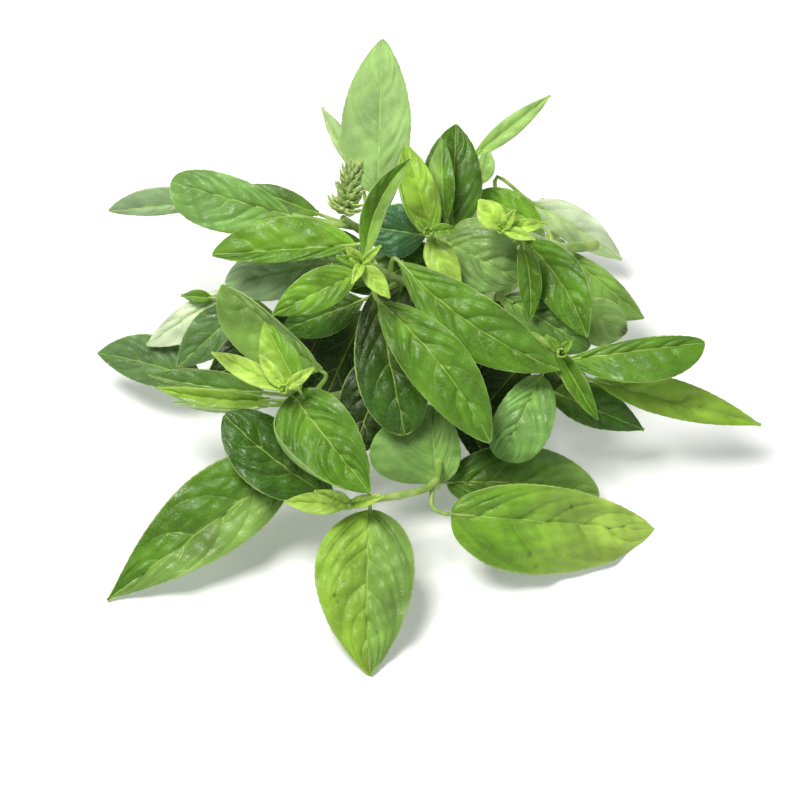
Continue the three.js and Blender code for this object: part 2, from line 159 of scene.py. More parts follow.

# Leaves: stem, blade base x, y, tip x, y, width seen left and right of the midrib, depth of base,
# rise to the tip, bow, fold, roll, widest at, sway, slimness of the outline,
# then for this finer leaf: colour, height of the puffs
# Rows with the tone shade, and some with deep, are filler blades whose dark colour is painted shade in the
# gaps.
# Tones joined by / colour a folded blade's lit half and shaded half: painted light and shade.
# Tones joined by > run from base to tip, on most of these leaves a painted shadow over the base.
LEAVES = [
    ("back", 30, 99, 61, 123.5, 4, 4.2, -84, 0, 2, 20, 0, 0.45, 0, 1.75, "sage", 0.3),
    ("back", 33, 88, 36, 101, 4, 4, -80, 0, 1, 20, 0, 0.45, 0, 1.5, "sage", 0.3),
    ("back", 54, 80, 90, 57, 7.6, 6.8, -88, -6, 3, 10, 0, 0.42, -1, 1.6, "mist/pale", 0.4),
    ("flowering", -17.5, 92, -31.5, 118, 3, 4, -52, 0, 2, 20, 0, 0.45, 0, 1.75, "pale", 0.3),
    ("flowering", -78, 80, -117.5, 76.5, 3.8, 7.5, -48, -8, 3, 20, 15, 0.45, 0, 1.4, "haze", 0.3),
    ("flowering", -33, 75, -62, 86, 6, 5, -42, 0, 3, 30, -20, 0.5, 0, 1.6, "grey", 0.3),
    ("flowering", -9, 83, -7, 145.5, 15.5, 12.5, -40, -12, 3, 10, 8, 0.41, 0, 1.35, "sage", 0.6),
    ("left_back", -80, 8, -122, 19, 8.5, 12, -42, -14, 3, 15, 0, 0.45, 1, 1.6, "haze_dark", 0.6),
    ("left_back", -70, 44, -102, 22, 9, 5, -36, -6, 2, 12, 0, 0.45, 0, 1.6, "mist", 0.4),
    ("left_back", -76, 41, -88, 42, 2.5, 3, -38, 0, 1, 15, 0, 0.4, 0, 1.75, "mid", 0.2),
    ("left_back", -62, 38, -89.5, 13.5, 8.5, 10, -28, -6, 3, 14, 0, 0.42, 0, 1.6, "haze_dark", 0.5),
    ("right_back", 66, 60, 98.5, 33, 5.2, 12, -60, -8, 3, 15, 0, 0.45, 0, 1.6, "soft", 0.5),
    ("right", 70, 38, 91.5, 27.5, 8.5, 11, -48, -6, 2, 15, 0, 0.5, 0, 1.5, "sage", 0.4),
    ("right_back", 57, 69.5, 32, 83.5, 8, 7.5, -44, -2, 3, 12, 0, 0.5, 0, 1.3, "bright", 0.7),
    ("central", -14, 36, -36, -12, 14.5, 14.5, -40, -6, 3, 10, 0, 0.45, 0, 1.75, "shade", 0.6),
    ("central", 11, 30, 39, -35, 14.5, 7.2, -24, -2, 3, 10, 0, 0.45, 0, 1.75, "shade", 0.6),
    ("right", 28, 36, 62, 14, 13.5, 13.5, -44, -6, 3, 10, 0, 0.45, 0, 1.75, "deep", 0.6),
    ("central", -3, 22, -20, -24, 13, 13, -12, 2, 3, 10, 0, 0.45, 0, 1.75, "shade", 0.6),
    ("left_back", -34, 30, -78, 8, 14, 14, -40, -4, 3, 10, 0, 0.45, 0, 1.6, "shade", 0.6),
    ("right", 58, 17, 78, -8, 8.7, 8.7, -36, -2, 3, 10, 0, 0.45, 0, 1.4, "shade", 0.6),
    ("upper", 16, 59, -20, 44, 8, 11, -34, 0, 3, 10, 0, 0.45, 0, 1.4, "deep", 0.6),
    ("central", -10, 47, -34, 69, 8.7, 8.7, -36, 0, 3, 10, 0, 0.45, 0, 1.4, "deep", 0.6),
    ("upper", 21, 69, 22.4, 110.8, 13.2, 11.5, -28, -4, 3, 18, -10, 0.42, 0, 1.35, "olive", 0.6),
    ("upper", 18.5, 73, 17.2, 104.6, 5.8, 5, -20, -2, 2, 20, 10, 0.45, -1, 1.5, "soft/mid", 0.4),
    ("flowering", -44.7, 74, -92, 87.5, 14, 9.2, -26, -4, 5, 16, 0, 0.57, 0, 1.05, "glossy", 0.8),
    ("upper", 10, 66, -14, 70, 11, 11, -20, 0, 3, 12, 0, 0.45, 0, 1.6, "blue", 0.5),
    ("upper", 13, 66, 2, 103, 7, 7.2, -12, -2, 3, 22, -14, 0.42, 0, 1.5, "fresh", 0.7),
    ("right", 50, 16, 28, -10, 12, 12, -20, 0, 3, 10, 0, 0.45, 0, 1.5, "shade", 0.6),
    ("central", 1, 46, -8, 14, 12, 12, -17, 2, 3, 10, 0, 0.45, 0, 1.5, "shade", 0.6),
    ("right", 42, 41, 76, 21, 10.2, 10.2, -24, -4, 3, 12, 0, 0.5, 0, 1.3, "grey", 0.9),
    ("right_back", 50, 64, 75, 25, 10.5, 10, -18, -6, 3, 15, -15, 0.45, -3, 1.6, "mid", 0.8),
    ("upper", 18, 63.5, 48.5, 48, 15.5, 13, -12, -6, 6, 8, 0, 0.38, 0, 1, "dusty", 1.0),
    ("right_back", 49, 63, 52, 32, 4.8, 4.8, -6, -4, 2, 32, 0, 0.45, -1.5, 1.6, "mid", 0.5),
    ("upper", 11.6, 64.4, 24, 44.6, 5.9, 6.6, 0, 0, 2, 20, 0, 0.42, 0, 1.5, "lime", 0.4),
    ("left", -55, 3, -101, 10, 6.8, 6.8, -22, -8, 3, 15, 0, 0.45, -1, 1.6, "grey", 0.5),
    ("left", -53, -2, -91, -1, 3.6, 3.2, -16, -6, 2, 30, 30, 0.45, 0, 1.75, "pale", 0.3),
    ("central", -30, 55, -70, 47, 11, 11.5, -12, -4, 3, 12, 0, 0.5, 0, 1.4, "haze", 0.6),
    ("central", -15, 40, -47, 28, 8.7, 8.7, -16, -4, 3, 15, 0, 0.45, 0, 1.6, "deep", 0.6),
    ("front", 19, -33, 80, -38, 15.5, 12, -10, -14, 4, 15, 0, 0.45, -2, 1.15, "olive>soft", 0.9),
    ("right", 62, 3, 98, -12, 10, 7.5, -20, -6, 2, 15, 0, 0.37, 0, 1.6, "deep", 0.5),
    ("right", 78, 8, 145, -10, 8.8, 6.8, -14, -14, 4, 16, 8, 0.42, 0, 1.75, "fresh", 0.5),
    ("right", 67, 16, 122, 23, 5, 13, -2, -6, 4, 24, 8, 0.57, 0, 1.3, "mid", 0.7),
    ("right", 62, 21, 79, -8, 4.2, 4.2, 4, 0, 2, 42, 0, 0.45, 0, 1.6, "mid", 0.4),
    ("right", 56.6, 9.8, 40.4, -23.6, 13.4, 10, -2, 2, 5, 12, 0, 0.57, 0, 0.95, "glossy", 1.0),
    ("front", 15, -33, 12, -2, 26, 10.5, -6, 0, 2, 20, 0, 0.42, 0, 0.95, "bright", 0.6),
    ("central", -10, 44, 2, -14, 14, 14.5, 0, 4, 5, 20, 10, 0.58, 0, 1.3, "shade>deep", 1.0),
    ("central", 0, 55, 64, 12, 12.5, 12.5, 10, 0, 5, 16, 0, 0.5, 4.6, 1.75, "mid", 0.9),
    ("central", -8, 39, 36, -17, 12, 13.4, 16, 2, 5, 12, 0, 0.48, -3.6, 1.5, "mid", 1.1),
    ("central", -18, 62, -75, 58, 5, 13.3, 8, -4, 4, 20, -16, 0.48, 0, 1.4, "mid/bright", 0.8),
    ("central", -17.5, 50.5, -51, 34, 7.5, 9, 16, 0, 3, 16, 0, 0.42, 0, 1.6, "bright", 0.7),
    ("central", -14, 57, 4, 96, 5.4, 3.6, 18, -4, 3, 45, 0, 0.45, -4, 1.6, "mid/soft", 0.5),
    ("left", -32, 12, -71, 46, 15.5, 3, 4, -2, 4, 34, 26, 0.55, 0, 1.25, "soft/sage", 0.8),
    ("left", -52, 0, -97, 5, 3.8, 3.8, 6, -4, 3, 40, 10, 0.45, -2, 1.6, "fresh", 0.4),
    ("left", -44, -26, -117, -80, 14, 19.4, 4, -2, 4, 14, -8, 0.35, 0, 1.65, "soft/mid", 1.1),
    ("front", -27, -39, -70, -6, 14, 14, 8, 0, 4, 16, -14, 0.55, -2, 1.35, "deep", 1.0),
    ("left", -43, 2, -12, -37, 13.5, 15.5, 24, 12, 5, 14, 10, 0.36, 0, 1.3, "mid", 1.1),
    ("left", -40, 4, -54, 31, 9, 6, 20, 0, 3, 20, 0, 0.42, 0, 1.6, "fresh/bright", 0.5),
    ("front", -11.8, -44, -12, -110, 18.8, 21, 19, 7, 4, 10, 0, 0.37, 1.2, 1.45, "soft/fresh", 1.1),
    ("front", 21, -45.6, 102, -52, 14.5, 21.6, 16, -38, 6, 14, -4, 0.37, 0, 1.2, "bright>lime", 1.0),
]

# Young leaves of the shoots: stem, base x, y, tip x, y, width, depth of base, rise to the tip, colour
YOUNG = [
    ("left", -47, 4, -75, 19, 9, 28, 2, "lime"),
    ("left", -46, 6, -56, 18, 6, 32, 3, "lime"),
    ("left", -42, 5, -34, 13, 5, 33, 4, "lime"),
    ("central", -14, 54, -21.5, 61, 5.5, 32, 4, "lime"),
    ("central", -12, 52, -4, 40.5, 8, 30, 3, "lime"),
    ("central", -13, 56, -7.5, 61.5, 3.6, 33, 5, "lime"),
    ("central", -16, 54, -25.5, 57, 4.4, 31, 3, "bright"),
    ("central", -13, 53, -19, 46, 4.4, 32, 4, "lime"),
    ("front", -19, -41, -46, -40.5, 9, 22, 0, "lime"),
    ("front", -20, -40, -34, -36, 7, 22, 1, "lime"),
    ("front", -15, -41, -6, -38, 5, 24, 2, "lime"),
    ("right_back", 41, 69, 31.5, 80, 11, 8, 3, "lime"),
    ("right_back", 43, 67, 58.5, 70.5, 6, 9, 3, "lime"),
    ("right_back", 43, 66, 54, 64, 5, 10, 3, "lime"),
    ("right_back", 41, 68, 46, 76, 5, 9, 4, "lime"),
    ("upper", 13, 67, 22.5, 68.5, 6, 6, 3, "bright"),
    ("upper", 11, 68, 6, 73, 5, 6, 3, "bright"),
    ("right", 64, 21, 69, 24, 4, 12, 3, "bright"),
    ("right", 62, 22, 58, 26, 4, 12, 3, "bright"),
]
YOUNG_FORM = (1.2, 32, 0, 0.45, 0, 1.75)
YOUNG_PUFF = 0.45

lean = math.radians(FACE_LEAN)
OUT = np.array((0.0, 0.0, 1.0))


def unit(v):
    return v / np.linalg.norm(v)


def to_world(points):
    """Points on the leaning face, in millimetres, as points of the part's frame in metres."""
    x, y, z = np.asarray(points, float).T
    across = x + FACE_PLACE[0]
    back = y * math.cos(lean) - z * math.sin(lean) + FACE_PLACE[1]
    height = y * math.sin(lean) + z * math.cos(lean) + FACE_HEIGHT
    return np.stack((across, back, np.maximum(height, SURFACE_REST)), 1) / 1000


def surface_depth(y):
    return -(FACE_HEIGHT + y * math.sin(lean)) / math.cos(lean)


class Leaf:
    """One blade: where it lies on the face, its outline and its bend."""

    def __init__(self, row, index):
        self.stem = row[0]
        bx, by, tx, ty, self.left, self.right, depth, rise = row[1:9]
        self.bow, fold, roll, self.widest, self.sway, self.slim, self.tone, self.puff = row[9:]
        self.width = self.left + self.right
        self.base = np.array((bx, by, depth), float)
        self.tip = np.array((tx, ty, depth + rise), float)
        self.fold = math.radians(fold)
        self.roll = math.radians(roll)
        self.phase = index * 1.7
        self.twist = math.radians(BLADE_TWIST) * math.sin(2.1 * index)
        self.up = OUT
        self.rolled = None
        self.turned_over = False
        self.marks = []
        self.stalk_bow = None

    def axes(self):
        along = self.tip - self.base
        ahead = unit(along)
        out = unit(self.up - ahead * np.dot(ahead, self.up))
        return along, ahead, np.cross(ahead, out), out

    def half_width(self, t, s):
        t = np.clip(t, 1e-6, 1 - 1e-6)
        inner = (t / self.widest) ** (self.slim * self.widest)
        outer = ((1 - t) / (1 - self.widest)) ** (self.slim * (1 - self.widest))
        least = BLADE_BASE + (BLADE_TIP - BLADE_BASE) * t
        return np.maximum(least, np.where(s < 0, self.left, self.right) * inner * outer)

    def form(self, t, s, spread=0.0):
        """Points of the middle surface: t from base to tip, s from the left margin to the right one."""
        along, _, side, out = self.axes()
        half = self.half_width(t, s)
        arch = 4 * t * (1 - t)
        wave = BLADE_WAVE * np.sin(9 * t + self.phase + np.where(s > 0, 2, 0))
        tilt = np.tan(self.roll + self.twist * (2 * t - 1))
        lift = np.sqrt(s * s + spread * spread) * math.tan(self.fold) + s * tilt + s * s * (wave - BLADE_CUP)
        return (
            self.base
            + along * t[:, None]
            + out * (self.bow * arch + half * lift)[:, None]
            + side * (self.sway * arch + half * s)[:, None]
        )


# Each leaf is laid on those before it
heap = {}


def lay(leaf):
    t, s = (a.ravel() for a in np.meshgrid(np.arange(21) / 20, np.arange(-6, 7) / 6, indexing="ij"))
    for _ in range(3):
        points = leaf.form(t, s)
        cells = np.floor(points[:, :2] / CELL).astype(int)
        under = np.array([heap.get((c, r), -1e9) for c, r in cells])
        need = np.maximum(under + GAP, surface_depth(points[:, 1]) - SINK) - points[:, 2]
        base_lift = max(0, need[t < 0.3].max())
        far = t >= 0.3
        tip_lift = max(0, ((need[far] - base_lift * (1 - t[far])) / t[far]).max())
        leaf.base[2] += base_lift
        leaf.tip[2] += tip_lift
    for x, y, z in leaf.form(t, s):
        column, row = math.floor(x / CELL), math.floor(y / CELL)
        for i in (-1, 0, 1):
            for j in (-1, 0, 1):
                key = (column + i, row + j)
                heap[key] = max(heap.get(key, -1e9), z)


leaves = [Leaf(row, index) for index, row in enumerate(LEAVES)]
for number, (side, share) in ROLLED.items():
    leaves[number].rolled = (side, share)
for number in TURNED_OVER:
    leaves[number].turned_over = True
for number, *mark in MARKS:
    leaves[number].marks.append(mark)
for number, place in BOWED_STALKS.items():
    leaves[number].stalk_bow = place
young = []
for index, row in enumerate(YOUNG):
    half = row[5] / 2
    young.append(Leaf((*row[:5], half, half, *row[6:8], *YOUNG_FORM, row[8], YOUNG_PUFF), index))
for one in leaves + young:
    lay(one)


class Course:
    """A smooth centripetal curve through points, read by share of its length."""

    def __init__(self, points):
        points = [np.asarray(p, float) for p in points]
        ends = [2 * points[0] - points[1]] + points + [2 * points[-1] - points[-2]]
        track = []
        for a, b, c, d in zip(ends, ends[1:], ends[2:], ends[3:]):
            spans = ((a, b), (b, c), (c, d))
            before, here, after = (max(np.linalg.norm(q - p), 1e-6) ** 0.5 for p, q in spans)
            leave = ((b - a) / before - (c - a) / (before + here) + (c - b) / here) * here
            arrive = ((c - b) / here - (d - b) / (here + after) + (d - c) / after) * here
            w = np.linspace(0, 1, CURVE_STEPS, endpoint=False)[:, None]
            square = 3 * (c - b) - 2 * leave - arrive
            cube = 2 * (b - c) + leave + arrive
            track.append(b + leave * w + square * w**2 + cube * w**3)
        self.track = np.concatenate(track + [points[-1][None]])
        steps = np.linalg.norm(np.diff(self.track, axis=0), axis=1)
        self.run = np.concatenate(([0], np.cumsum(steps)))
        self.length = self.run[-1]

    def at(self, share):
        target = np.atleast_1d(share) * self.length
        return np.stack([np.interp(target, self.run, self.track[:, k]) for k in range(3)], 1)

    def heading(self):
        return unit(self.track[-1] - self.track[-2])


gather = unit(np.subtract(CUT_END, THROAT))
gather_across = unit(np.cross((0, 1, 0), gather))
gather_up = np.cross(gather, gather_across)


def stem_course(row, index):
    name, x, y, z, across, up, way = row
    own = [leaf.base[2] + 4 for leaf in leaves if leaf.stem == name]
    points = list(way) + [(x, y, max(own + [z]))]
    if across is not None:
        place = -gather_across * across + gather_up * up
        cut = np.array(CUT_END) + place + gather * 4 * math.sin(index * 2.4)
        points = [cut, np.array(THROAT) + place] + points
    return Course(points)


def stalk_root(course, leaf):
    ahead = unit(leaf.tip - leaf.base)
    wanted = leaf.base - 6 * ahead - 3 * OUT
    joints = course.at(np.arange(4, STEM_STEPS) / STEM_STEPS)
    return joints[np.argmin(np.linalg.norm(joints - wanted, axis=1))]


# Materials


def shader_node(tree, kind, values=(), **settings):
    made = tree.nodes.new(kind)
    for name, value in settings.items():
        setattr(made, name, value)
    for socket, value in dict(values).items():
        if isinstance(value, bpy.types.NodeSocket):
            tree.links.new(value, made.inputs[socket])
        else:
            made.inputs[socket].default_value = value
    return made


def math_node(tree, operation, first, second=0.0):
    return shader_node(tree, "ShaderNodeMath", {0: first, 1: second}, operation=operation).outputs[0]


def ramp(tree, value, low, high, at_low, at_high):
    values = {"Value": value, "From Min": low, "From Max": high, "To Min": at_low, "To Max": at_high}
    made = shader_node(tree, "ShaderNodeMapRange", values, interpolation_type="SMOOTHSTEP")
    return made.outputs["Result"]


def mix_colour(tree, share, first, second, blend="MIX"):
    made = shader_node(tree, "ShaderNodeMix", data_type="RGBA", blend_type=blend)
    for socket, value in ((made.inputs[0], share), (made.inputs[6], first), (made.inputs[7], second)):
        if isinstance(value, bpy.types.NodeSocket):
            tree.links.new(value, socket)
        else:
            socket.default_value = value
    return made.outputs[2]


def new_material(name):
    material = bpy.data.materials.new(name)
    material.use_nodes = True
    tree = material.node_tree
    return material, tree, tree.nodes["Principled BSDF"]


def noise(tree, coords, scale, detail=2.0):
    values = {"Vector": coords, "Scale": scale, "Detail": detail}
    return shader_node(tree, "ShaderNodeTexNoise", values).outputs[0]


def leaf_material(name, underside):
    """One face of a blade: its own tone, which also carries painted light and shade, paler veins, a paler
    margin that is partly a painted edge highlight, a fine net, satin gloss.
    """
    material, tree, surface = new_material(name)
    coords = shader_node(tree, "ShaderNodeTexCoord").outputs["Object"]
    # tone carries the blade's colour together with its painted light and shade
    tone = shader_node(tree, "ShaderNodeAttribute", attribute_name="tone").outputs["Color"]
    blade = shader_node(tree, "ShaderNodeAttribute", attribute_name="blade").outputs["Vector"]
    place = shader_node(tree, "ShaderNodeSeparateXYZ", {0: blade})
    run, rib, edge = place.outputs[0], place.outputs[1], place.outputs[2]
    wobble = math_node(tree, "MULTIPLY", math_node(tree, "SUBTRACT", noise(tree, coords, 240), 0.5), 0.20)
    beside = math_node(tree, "PINGPONG", math_node(tree, "ADD", run, wobble), 0.5)
    vein_width = ramp(tree, edge, 0.0, 0.9, 0.055, 0.018)
    vein = ramp(tree, math_node(tree, "DIVIDE", beside, vein_width), 0.2, 1.0, 1.0, 0.0)
    vein = math_node(tree, "MULTIPLY", vein, ramp(tree, edge, 0.55, 0.92, 1.0, 0.0))
    midrib = ramp(tree, math_node(tree, "ABSOLUTE", rib), 0.22, 0.6, 1.0, 0.0)
    # the margin line: partly the leaf's own paler rim, partly a painted edge highlight
    margin = ramp(tree, edge, 0.955, 0.99, 0.0, 1.0)
    shift = shader_node(tree, "ShaderNodeTexNoise", {"Vector": coords, "Scale": 260.0}).outputs["Color"]
    bent = mix_colour(tree, 0.012, coords, shift, "ADD")
    values = {"Vector": bent, "Scale": 420.0}
    cells = shader_node(tree, "ShaderNodeTexVoronoi", values, feature="DISTANCE_TO_EDGE")
    net = ramp(tree, cells.outputs["Distance"], 0.0, 0.16, 1.0, 0.0)
    patch = ramp(tree, noise(tree, coords, 62, 3.0), 0.28, 0.74, 0.74, 1.20)
    if underside:
        tone = mix_colour(tree, 0.45, tone, (0.30, 0.50, 0.17, 1))
        line_colour, vein_share, rib_share, margin_and_highlight_share = (0.44, 0.60, 0.24, 1), 0.38, 0.6, 0.3
        dip, rough = 0.6, 0.55
    else:
        line_colour, vein_share, rib_share, margin_and_highlight_share = (0.42, 0.62, 0.14, 1), 0.20, 0.62, 0.62
        dip, rough = -0.5, 0.32
    shade = shader_node(tree, "ShaderNodeCombineColor", {0: patch, 1: patch, 2: patch}).outputs[0]
    colour = mix_colour(tree, 1.0, tone, shade, "MULTIPLY")
    colour = mix_colour(tree, math_node(tree, "MULTIPLY", net, 0.09), colour, line_colour)
    colour = mix_colour(tree, math_node(tree, "MULTIPLY", vein, vein_share), colour, line_colour)
    colour = mix_colour(tree, math_node(tree, "MULTIPLY", midrib, rib_share), colour, line_colour)
    pale_margin_and_edge_highlight = math_node(tree, "MULTIPLY", margin, margin_and_highlight_share)
    colour = mix_colour(tree, pale_margin_and_edge_highlight, colour, (0.46, 0.64, 0.17, 1))
    tree.links.new(colour, surface.inputs["Base Color"])
    lines = math_node(tree, "MAXIMUM", midrib, vein)
    lines = math_node(tree, "MAXIMUM", lines, math_node(tree, "MULTIPLY", net, 0.5))
    height = math_node(tree, "MULTIPLY", lines, dip)
    height = math_node(tree, "ADD", height, math_node(tree, "MULTIPLY", noise(tree, coords, 900), 0.3))
    bump = shader_node(tree, "ShaderNodeBump", {"Height": height, "Strength": 0.6, "Distance": 0.0004})
    tree.links.new(bump.outputs[0], surface.inputs["Normal"])
    gloss = ramp(tree, noise(tree, coords, 120), 0.3, 0.7, rough - 0.06, rough + 0.10)
    tree.links.new(gloss, surface.inputs["Roughness"])
    surface.inputs["Specular IOR Level"].default_value = 0.34
    return material


def plain_plant_material(name, low, high, scale, rough):
    """A stem or bract: two greens mixed in fine streaks."""
    material, tree, surface = new_material(name)
    coords = shader_node(tree, "ShaderNodeTexCoord").outputs["Object"]
    streak = ramp(tree, noise(tree, coords, scale, 3.0), 0.35, 0.65, 0.0, 1.0)
    tree.links.new(mix_colour(tree, streak, low, high), surface.inputs["Base Color"])
    values = {"Height": noise(tree, coords, scale * 3), "Strength": 0.3, "Distance": 0.0003}
    bump = shader_node(tree, "ShaderNodeBump", values)
    tree.links.new(bump.outputs[0], surface.inputs["Normal"])
    surface.inputs["Roughness"].default_value = rough
    return material


leaf_upper = leaf_material("leaf_upper_face", False)
leaf_under = leaf_material("leaf_underside", True)
stem_green = plain_plant_material("stem_skin", (0.22, 0.38, 0.06, 1), (0.40, 0.55, 0.14, 1), 160.0, 0.42)
cut_flesh = plain_plant_material("cut_stem_flesh", (0.50, 0.58, 0.26, 1), (0.64, 0.70, 0.42, 1), 500.0, 0.6)
bract_green = plain_plant_material("bract_skin", (0.34, 0.46, 0.12, 1), (0.62, 0.70, 0.36, 1), 330.0, 0.55)

# Modelling


def deselect_all():
    for one in bpy.context.selected_objects:
        one.select_set(False)


def vein_run(leaf, t, s):
    """Count of side veins passed from the base, whole on a vein. Each vein arches forward to the margin."""
    length = np.linalg.norm(leaf.tip - leaf.base)
    reach = np.abs(s)
    lead = t - leaf.width / 2 / length * (VEIN_LEAN * reach + VEIN_ARCH * reach**3)
    pairs = VEIN_PAIRS + 0.8 * math.sin(1.3 * leaf.phase)
    run = pairs * np.sign(lead) * np.abs(lead) ** 0.9
    uneven = 0.16 * np.sin(2.6 * run + 1.9 * leaf.phase + np.where(s > 0, 1.7, 0))
    return run + uneven + np.where(s > 0, 0.36, 0.0)


def blade_relief(leaf, t, s, half):
    """Height of the fine relief over the middle surface, in millimetres."""
    run = vein_run(leaf, t, s)
    reach = np.abs(s)
    between = np.abs(np.sin(math.pi * run))
    inside = np.clip((1 - reach) * 2.5, 0, 1)
    ends = np.clip(t * 8, 0, 1) * np.clip((1 - t) * 5, 0, 1)
    x = t * np.linalg.norm(leaf.tip - leaf.base)
    y = s * half
    panel = np.floor(run)
    uneven = 1 + 0.45 * np.sin(2.3 * panel + leaf.phase + np.where(s > 0, 1.0, 0))
    cells = np.abs(np.sin(math.pi * np.abs(y) / QUILT_PITCH + 1.7 * panel + leaf.phase)) ** 0.7
    fade = 1 - 0.5 * reach
    swell = fade * uneven * (between**0.9 - 0.55) + 0.35 * between * (cells - 0.6)
    puffs = leaf.puff * inside * ends * swell
    dents = np.sin(0.62 * x + 0.35 * y + leaf.phase) * np.sin(0.78 * y - 0.3 * x + 2.3 * leaf.phase)
    groove = -RIB_DEPTH * np.exp(-((y / RIB_WIDTH) ** 2)) * np.clip((1 - t) * 3, 0, 1)
    waves = np.sin(19 * t + leaf.phase * 1.9 + np.where(s > 0, 1.1, 0)) + 0.6 * np.sin(37 * t + leaf.phase)
    ruffle = 0.05 * leaf.width / 2 * reach**4 * waves
    return PUFF_HEIGHT * puffs + DENT_HEIGHT * leaf.puff * inside * ends * dents + groove + ruffle


def margin_rolled(leaf, t, s, half):
    """Where the points of a rolled margin come to lie: place across the blade, and height over it."""
    side, most = leaf.rolled
    share = most * np.sqrt(np.sin(math.pi * np.clip(t, 0, 1)))
    reach = np.abs(s)
    flat = 1 - share
    beyond = (reach / flat - 1) * half
    turn = np.clip(beyond / ROLL_RADIUS, 0, math.pi)
    back = np.maximum(beyond - math.pi * ROLL_RADIUS, 0)
    across = np.where(beyond < 0, reach / flat, 1 + (ROLL_RADIUS * np.sin(turn) - back) / half)
    turned = s * side > 0
    return np.where(turned, side * across, s), np.where(turned, ROLL_RADIUS * (1 - np.cos(turn)), 0)


def blade_tones_with_painted_light(leaf, t, s, half):
    """Colour at each point: one tone, or two, by halves (a/b) or from base to tip (a>b), in uneven panels. The
    halves are a folded blade's lit and shaded half, base to tip is mostly a shadow over the base, and the
    panels are light and shade on the puffs: all painted light and shade.
    """
    length = np.linalg.norm(leaf.tip - leaf.base)
    first, _, second = leaf.tone.replace(">", "/").partition("/")
    # painted light and shade: a/b splits at the midrib into a lit and a shaded half, a>b runs from base to
    # tip, mostly a painted shadow over the base
    blend = np.clip(2.2 * t - 0.6, 0, 1) if ">" in leaf.tone else np.clip(3 * s + 0.5, 0, 1)
    blend = blend[:, None]
    tones = np.array(TONES[first]) * (1 - blend) + np.array(TONES[second or first]) * blend
    cloud = np.sin(7 * t + 2.1 * s + leaf.phase) * np.sin(3.1 * s - 4.3 * t + 1.3 * leaf.phase)
    run = vein_run(leaf, t, s)
    # painted light and shade on the puffed panels between the side veins, alternating panel by panel and
    # strongest mid-panel; cloud is random tone variation
    panel = np.sin(4.1 * np.floor(run) + leaf.phase) * np.abs(np.sin(math.pi * run)) ** 0.5
    tones = tones * (1 + 0.16 * cloud + 0.14 * panel)[:, None]
    pale = 0.35 * np.exp(-np.abs(s * half) / 2.2) * (1 - t) ** 2
    tones = tones + pale[:, None] * (np.array(TONES["lime"]) - tones)
    for along, across, size, strength in leaf.marks:
        away = np.hypot((t - along) * length, (s - across) * half)
        mark = strength * np.clip(1.5 - away / size, 0, 1)[:, None]
        tones = tones + mark * (np.array(MARK_COLOUR) - tones)
    return np.concatenate((tones, np.ones((len(t), 1))), 1)


def make_blade(leaf, name, density=CELLS_PER_MM):
    length = np.linalg.norm(leaf.tip - leaf.base)
    rows = max(14, int(length * density))
    columns = max(8, 2 * int(leaf.width * density / 2))
    if leaf.rolled:
        columns = max(columns, 28)
    deselect_all()
    bpy.ops.mesh.primitive_grid_add(x_subdivisions=columns, y_subdivisions=rows, size=2)
    blade = bpy.context.object
    blade.name = name
    mesh = blade.data
    flat = np.empty(len(mesh.vertices) * 3)
    mesh.vertices.foreach_get("co", flat)
    flat = flat.reshape(-1, 3)
    s = flat[:, 0]
    even = (flat[:, 1] + 1) / 2
    t = 0.6 * even + 0.2 * (1 - np.cos(math.pi * even))
    half = leaf.half_width(t, s)
    relief = blade_relief(leaf, t, s, half)
    place = s
    if leaf.rolled:
        place, over = margin_rolled(leaf, t, s, half)
        relief = np.where(over > 0, 0, relief) + over
    _, _, side, out = leaf.axes()
    teeth = np.mod(t * length / TOOTH_PITCH + np.where(s > 0, 0.4, 0), 1) - 0.5
    depth = TOOTH_DEPTH * np.clip(leaf.width / 20, 0, 1.2)
    notch = depth * teeth * np.abs(s) ** 10 * np.clip((1 - t) * 8, 0, 1)
    notch = notch * np.clip((t - 0.12) * 8, 0, 1)
    points = leaf.form(t, place, 0.05) + out * relief[:, None] + side * (np.sign(s) * notch)[:, None]
    mesh.vertices.foreach_set("co", to_world(points).ravel())
    # the tone attribute carries the blade's colour together with its painted light and shade
    tones = blade_tones_with_painted_light(leaf, t, s, half)
    mesh.attributes.new("tone", "FLOAT_COLOR", "POINT").data.foreach_set("color", tones.ravel())
    lines = np.stack((vein_run(leaf, t, s) + 20, s * half * (1 + t), np.abs(s)), 1)
    mesh.attributes.new("blade", "FLOAT_VECTOR", "POINT").data.foreach_set("vector", lines.ravel())
    shown, hidden = (leaf_under, leaf_upper) if leaf.turned_over else (leaf_upper, leaf_under)
    mesh.materials.append(shown)
    mesh.materials.append(hidden)
    thick = blade.modifiers.new("thickness", "SOLIDIFY")
    thick.thickness = BLADE_THICK / 1000
    thick.offset = 0
    thick.material_offset = 1
    bpy.ops.object.modifier_apply(modifier=thick.name)
    bpy.ops.object.shade_smooth()
    return blade


def make_tube(points, radii, name, material):
    """A round tapering stem or stalk through points on the face, in millimetres."""
    deselect_all()
    bpy.ops.curve.primitive_bezier_curve_add()
    tube = bpy.context.object
    tube.name = name
    data = tube.data
    data.splines.clear()
    line = data.splines.new("POLY")
    line.points.add(len(points) - 1)
    for knot, place, radius in zip(line.points, to_world(points), radii):
        knot.co = (*place, 1)
        knot.radius = radius
    data.dimensions = "3D"
    data.bevel_depth = 0.001
    data.bevel_resolution = 3
    data.use_fill_caps = True
    data.materials.append(material)
    bpy.ops.object.convert(target="MESH")
    tube = bpy.context.object
    bpy.ops.object.shade_smooth_by_angle(angle=math.radians(50))
    return tube


